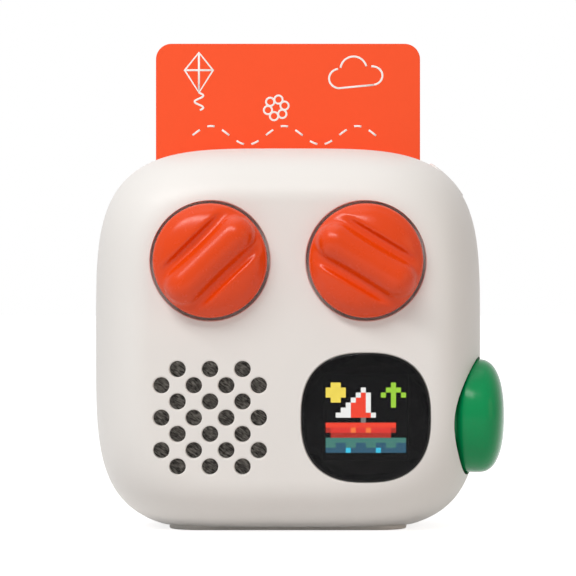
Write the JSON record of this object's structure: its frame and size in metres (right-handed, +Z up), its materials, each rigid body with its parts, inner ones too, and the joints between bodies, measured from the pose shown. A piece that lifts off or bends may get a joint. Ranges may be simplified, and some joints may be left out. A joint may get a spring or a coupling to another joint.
{
  "type": "audio story player",
  "caption": "Pocket audio player for children: squircle case with turn-and-press knobs, speaker grille, pixel display, side button and a card in a top slot.",
  "frame": {"origin": "on the surface the player stands on, under the middle of the case (mid width, mid depth of the case)", "axes": "+Z up, +X to the player's right as seen by its user, +Y away from the user, so the front faces -Y"},
  "size_m": [0.0812, 0.0493, 0.0977],
  "materials": {
    "case_plastic": "satin cream-white moulded plastic",
    "foot_silicone": "soft white silicone",
    "knob_plastic": "satin orange moulded plastic",
    "button_plastic": "satin green moulded plastic",
    "card_plastic": "printed matte-laminated card",
    "lens_acrylic": "smoked gloss acrylic",
    "acoustic_cloth": "dark grey felted cloth",
    "cone_paper": "black paper cone",
    "soft_rubber": "black rubber",
    "felt": "thin pale felt",
    "foam": "black foam",
    "black_plastic": "black moulded plastic",
    "plated_steel": "nickel-plated steel",
    "copper": "enamelled copper wire",
    "circuit_board": "green solder mask",
    "chip_epoxy": "black epoxy",
    "light_epoxy": "clear epoxy over white",
    "diffuser_film": "thin diffusing film over the lights",
    "battery_foil": "aluminium pouch foil",
    "lead_insulation": "red silicone insulation",
    "ribbon_film": "amber polyimide film"
  },
  "bodies": {
    "root": {"front_shell": "case_plastic", "rear_shell": "case_plastic", "base_foot_pad": "foot_silicone", "case_screws": "plated_steel", "screw_plugs": "case_plastic", "speaker_cloth": "acoustic_cloth", "speaker_frame": "black_plastic", "speaker_surround": "soft_rubber", "speaker_cone": "cone_paper", "speaker_voice_coil": "copper", "speaker_magnet": "plated_steel", "speaker_screws": "plated_steel", "display_lens": "lens_acrylic", "lens_tape": "foam", "display_diffuser": "diffuser_film", "pixel_grid": "black_plastic", "display_lights": "light_epoxy", "display_board": "circuit_board", "display_header": "black_plastic", "left_encoder_body": "black_plastic", "left_knob_seal": "felt", "right_encoder_body": "black_plastic", "right_knob_seal": "felt", "power_switch_body": "black_plastic", "button_gasket": "soft_rubber", "card_chute": "black_plastic", "card_spring": "plated_steel", "chute_screws": "plated_steel", "reader_board": "circuit_board", "reader_header": "black_plastic", "main_board": "circuit_board", "board_chips": "chip_epoxy", "board_screws": "plated_steel", "battery": "battery_foil", "battery_foam": "foam", "battery_tape": "foam", "charge_board": "circuit_board", "charge_board_screws": "plated_steel", "usb_c_socket": "plated_steel", "headphone_jack": "black_plastic", "jack_bezel": "case_plastic", "speaker_leads": "lead_insulation", "battery_leads": "lead_insulation", "charge_ribbon": "ribbon_film"},
    "left_rotor": {"left_encoder_rotor": "black_plastic"},
    "left_knob": {"left_knob": "knob_plastic", "left_encoder_shaft": "plated_steel"},
    "left_dome": {"left_push_dome": "plated_steel"},
    "right_rotor": {"right_encoder_rotor": "black_plastic"},
    "right_knob": {"right_knob": "knob_plastic", "right_encoder_shaft": "plated_steel"},
    "right_dome": {"right_push_dome": "plated_steel"},
    "power_button": {"power_button": "button_plastic", "button_retainer": "black_plastic"},
    "power_plunger": {"power_switch_plunger": "black_plastic"},
    "card": {"audio_card": "card_plastic"}
  },
  "joints": [
    {"name": "left_knob_turn", "type": "hinge", "parent": "root", "child": "left_rotor", "pos_m": [-0.0151, 0, 0.0531], "axis": [0, -1, 0], "continuous": true},
    {"name": "left_knob_press", "type": "slide", "parent": "left_rotor", "child": "left_knob", "axis": [0, 1, 0], "range_m": [0, 0.0008], "stiffness_N_per_m": 400, "springref_m": -0.0004},
    {"name": "left_dome_press", "type": "slide", "parent": "root", "child": "left_dome", "axis": [0, 1, 0], "range_m": [0, 0.0008]},
    {"name": "right_knob_turn", "type": "hinge", "parent": "root", "child": "right_rotor", "pos_m": [0.0151, 0, 0.0531], "axis": [0, -1, 0], "continuous": true},
    {"name": "right_knob_press", "type": "slide", "parent": "right_rotor", "child": "right_knob", "axis": [0, 1, 0], "range_m": [0, 0.0008], "stiffness_N_per_m": 400, "springref_m": -0.0004},
    {"name": "right_dome_press", "type": "slide", "parent": "root", "child": "right_dome", "axis": [0, 1, 0], "range_m": [0, 0.0008]},
    {"name": "power_button_press", "type": "slide", "parent": "root", "child": "power_button", "axis": [-1, 0, 0], "range_m": [0, 0.0008], "stiffness_N_per_m": 500, "springref_m": -0.0004},
    {"name": "power_plunger_press", "type": "slide", "parent": "root", "child": "power_plunger", "axis": [-1, 0, 0], "range_m": [0, 0.0008]},
    {"name": "card_slide", "type": "slide", "parent": "root", "child": "card", "axis": [0, 0, 1], "range_m": [0, 0.064]}
  ],
  "couplings": [
    {"joint": "left_dome_press", "follows": "left_knob_press", "ratio": 1},
    {"joint": "right_dome_press", "follows": "right_knob_press", "ratio": 1},
    {"joint": "power_plunger_press", "follows": "power_button_press", "ratio": 1}
  ]
}
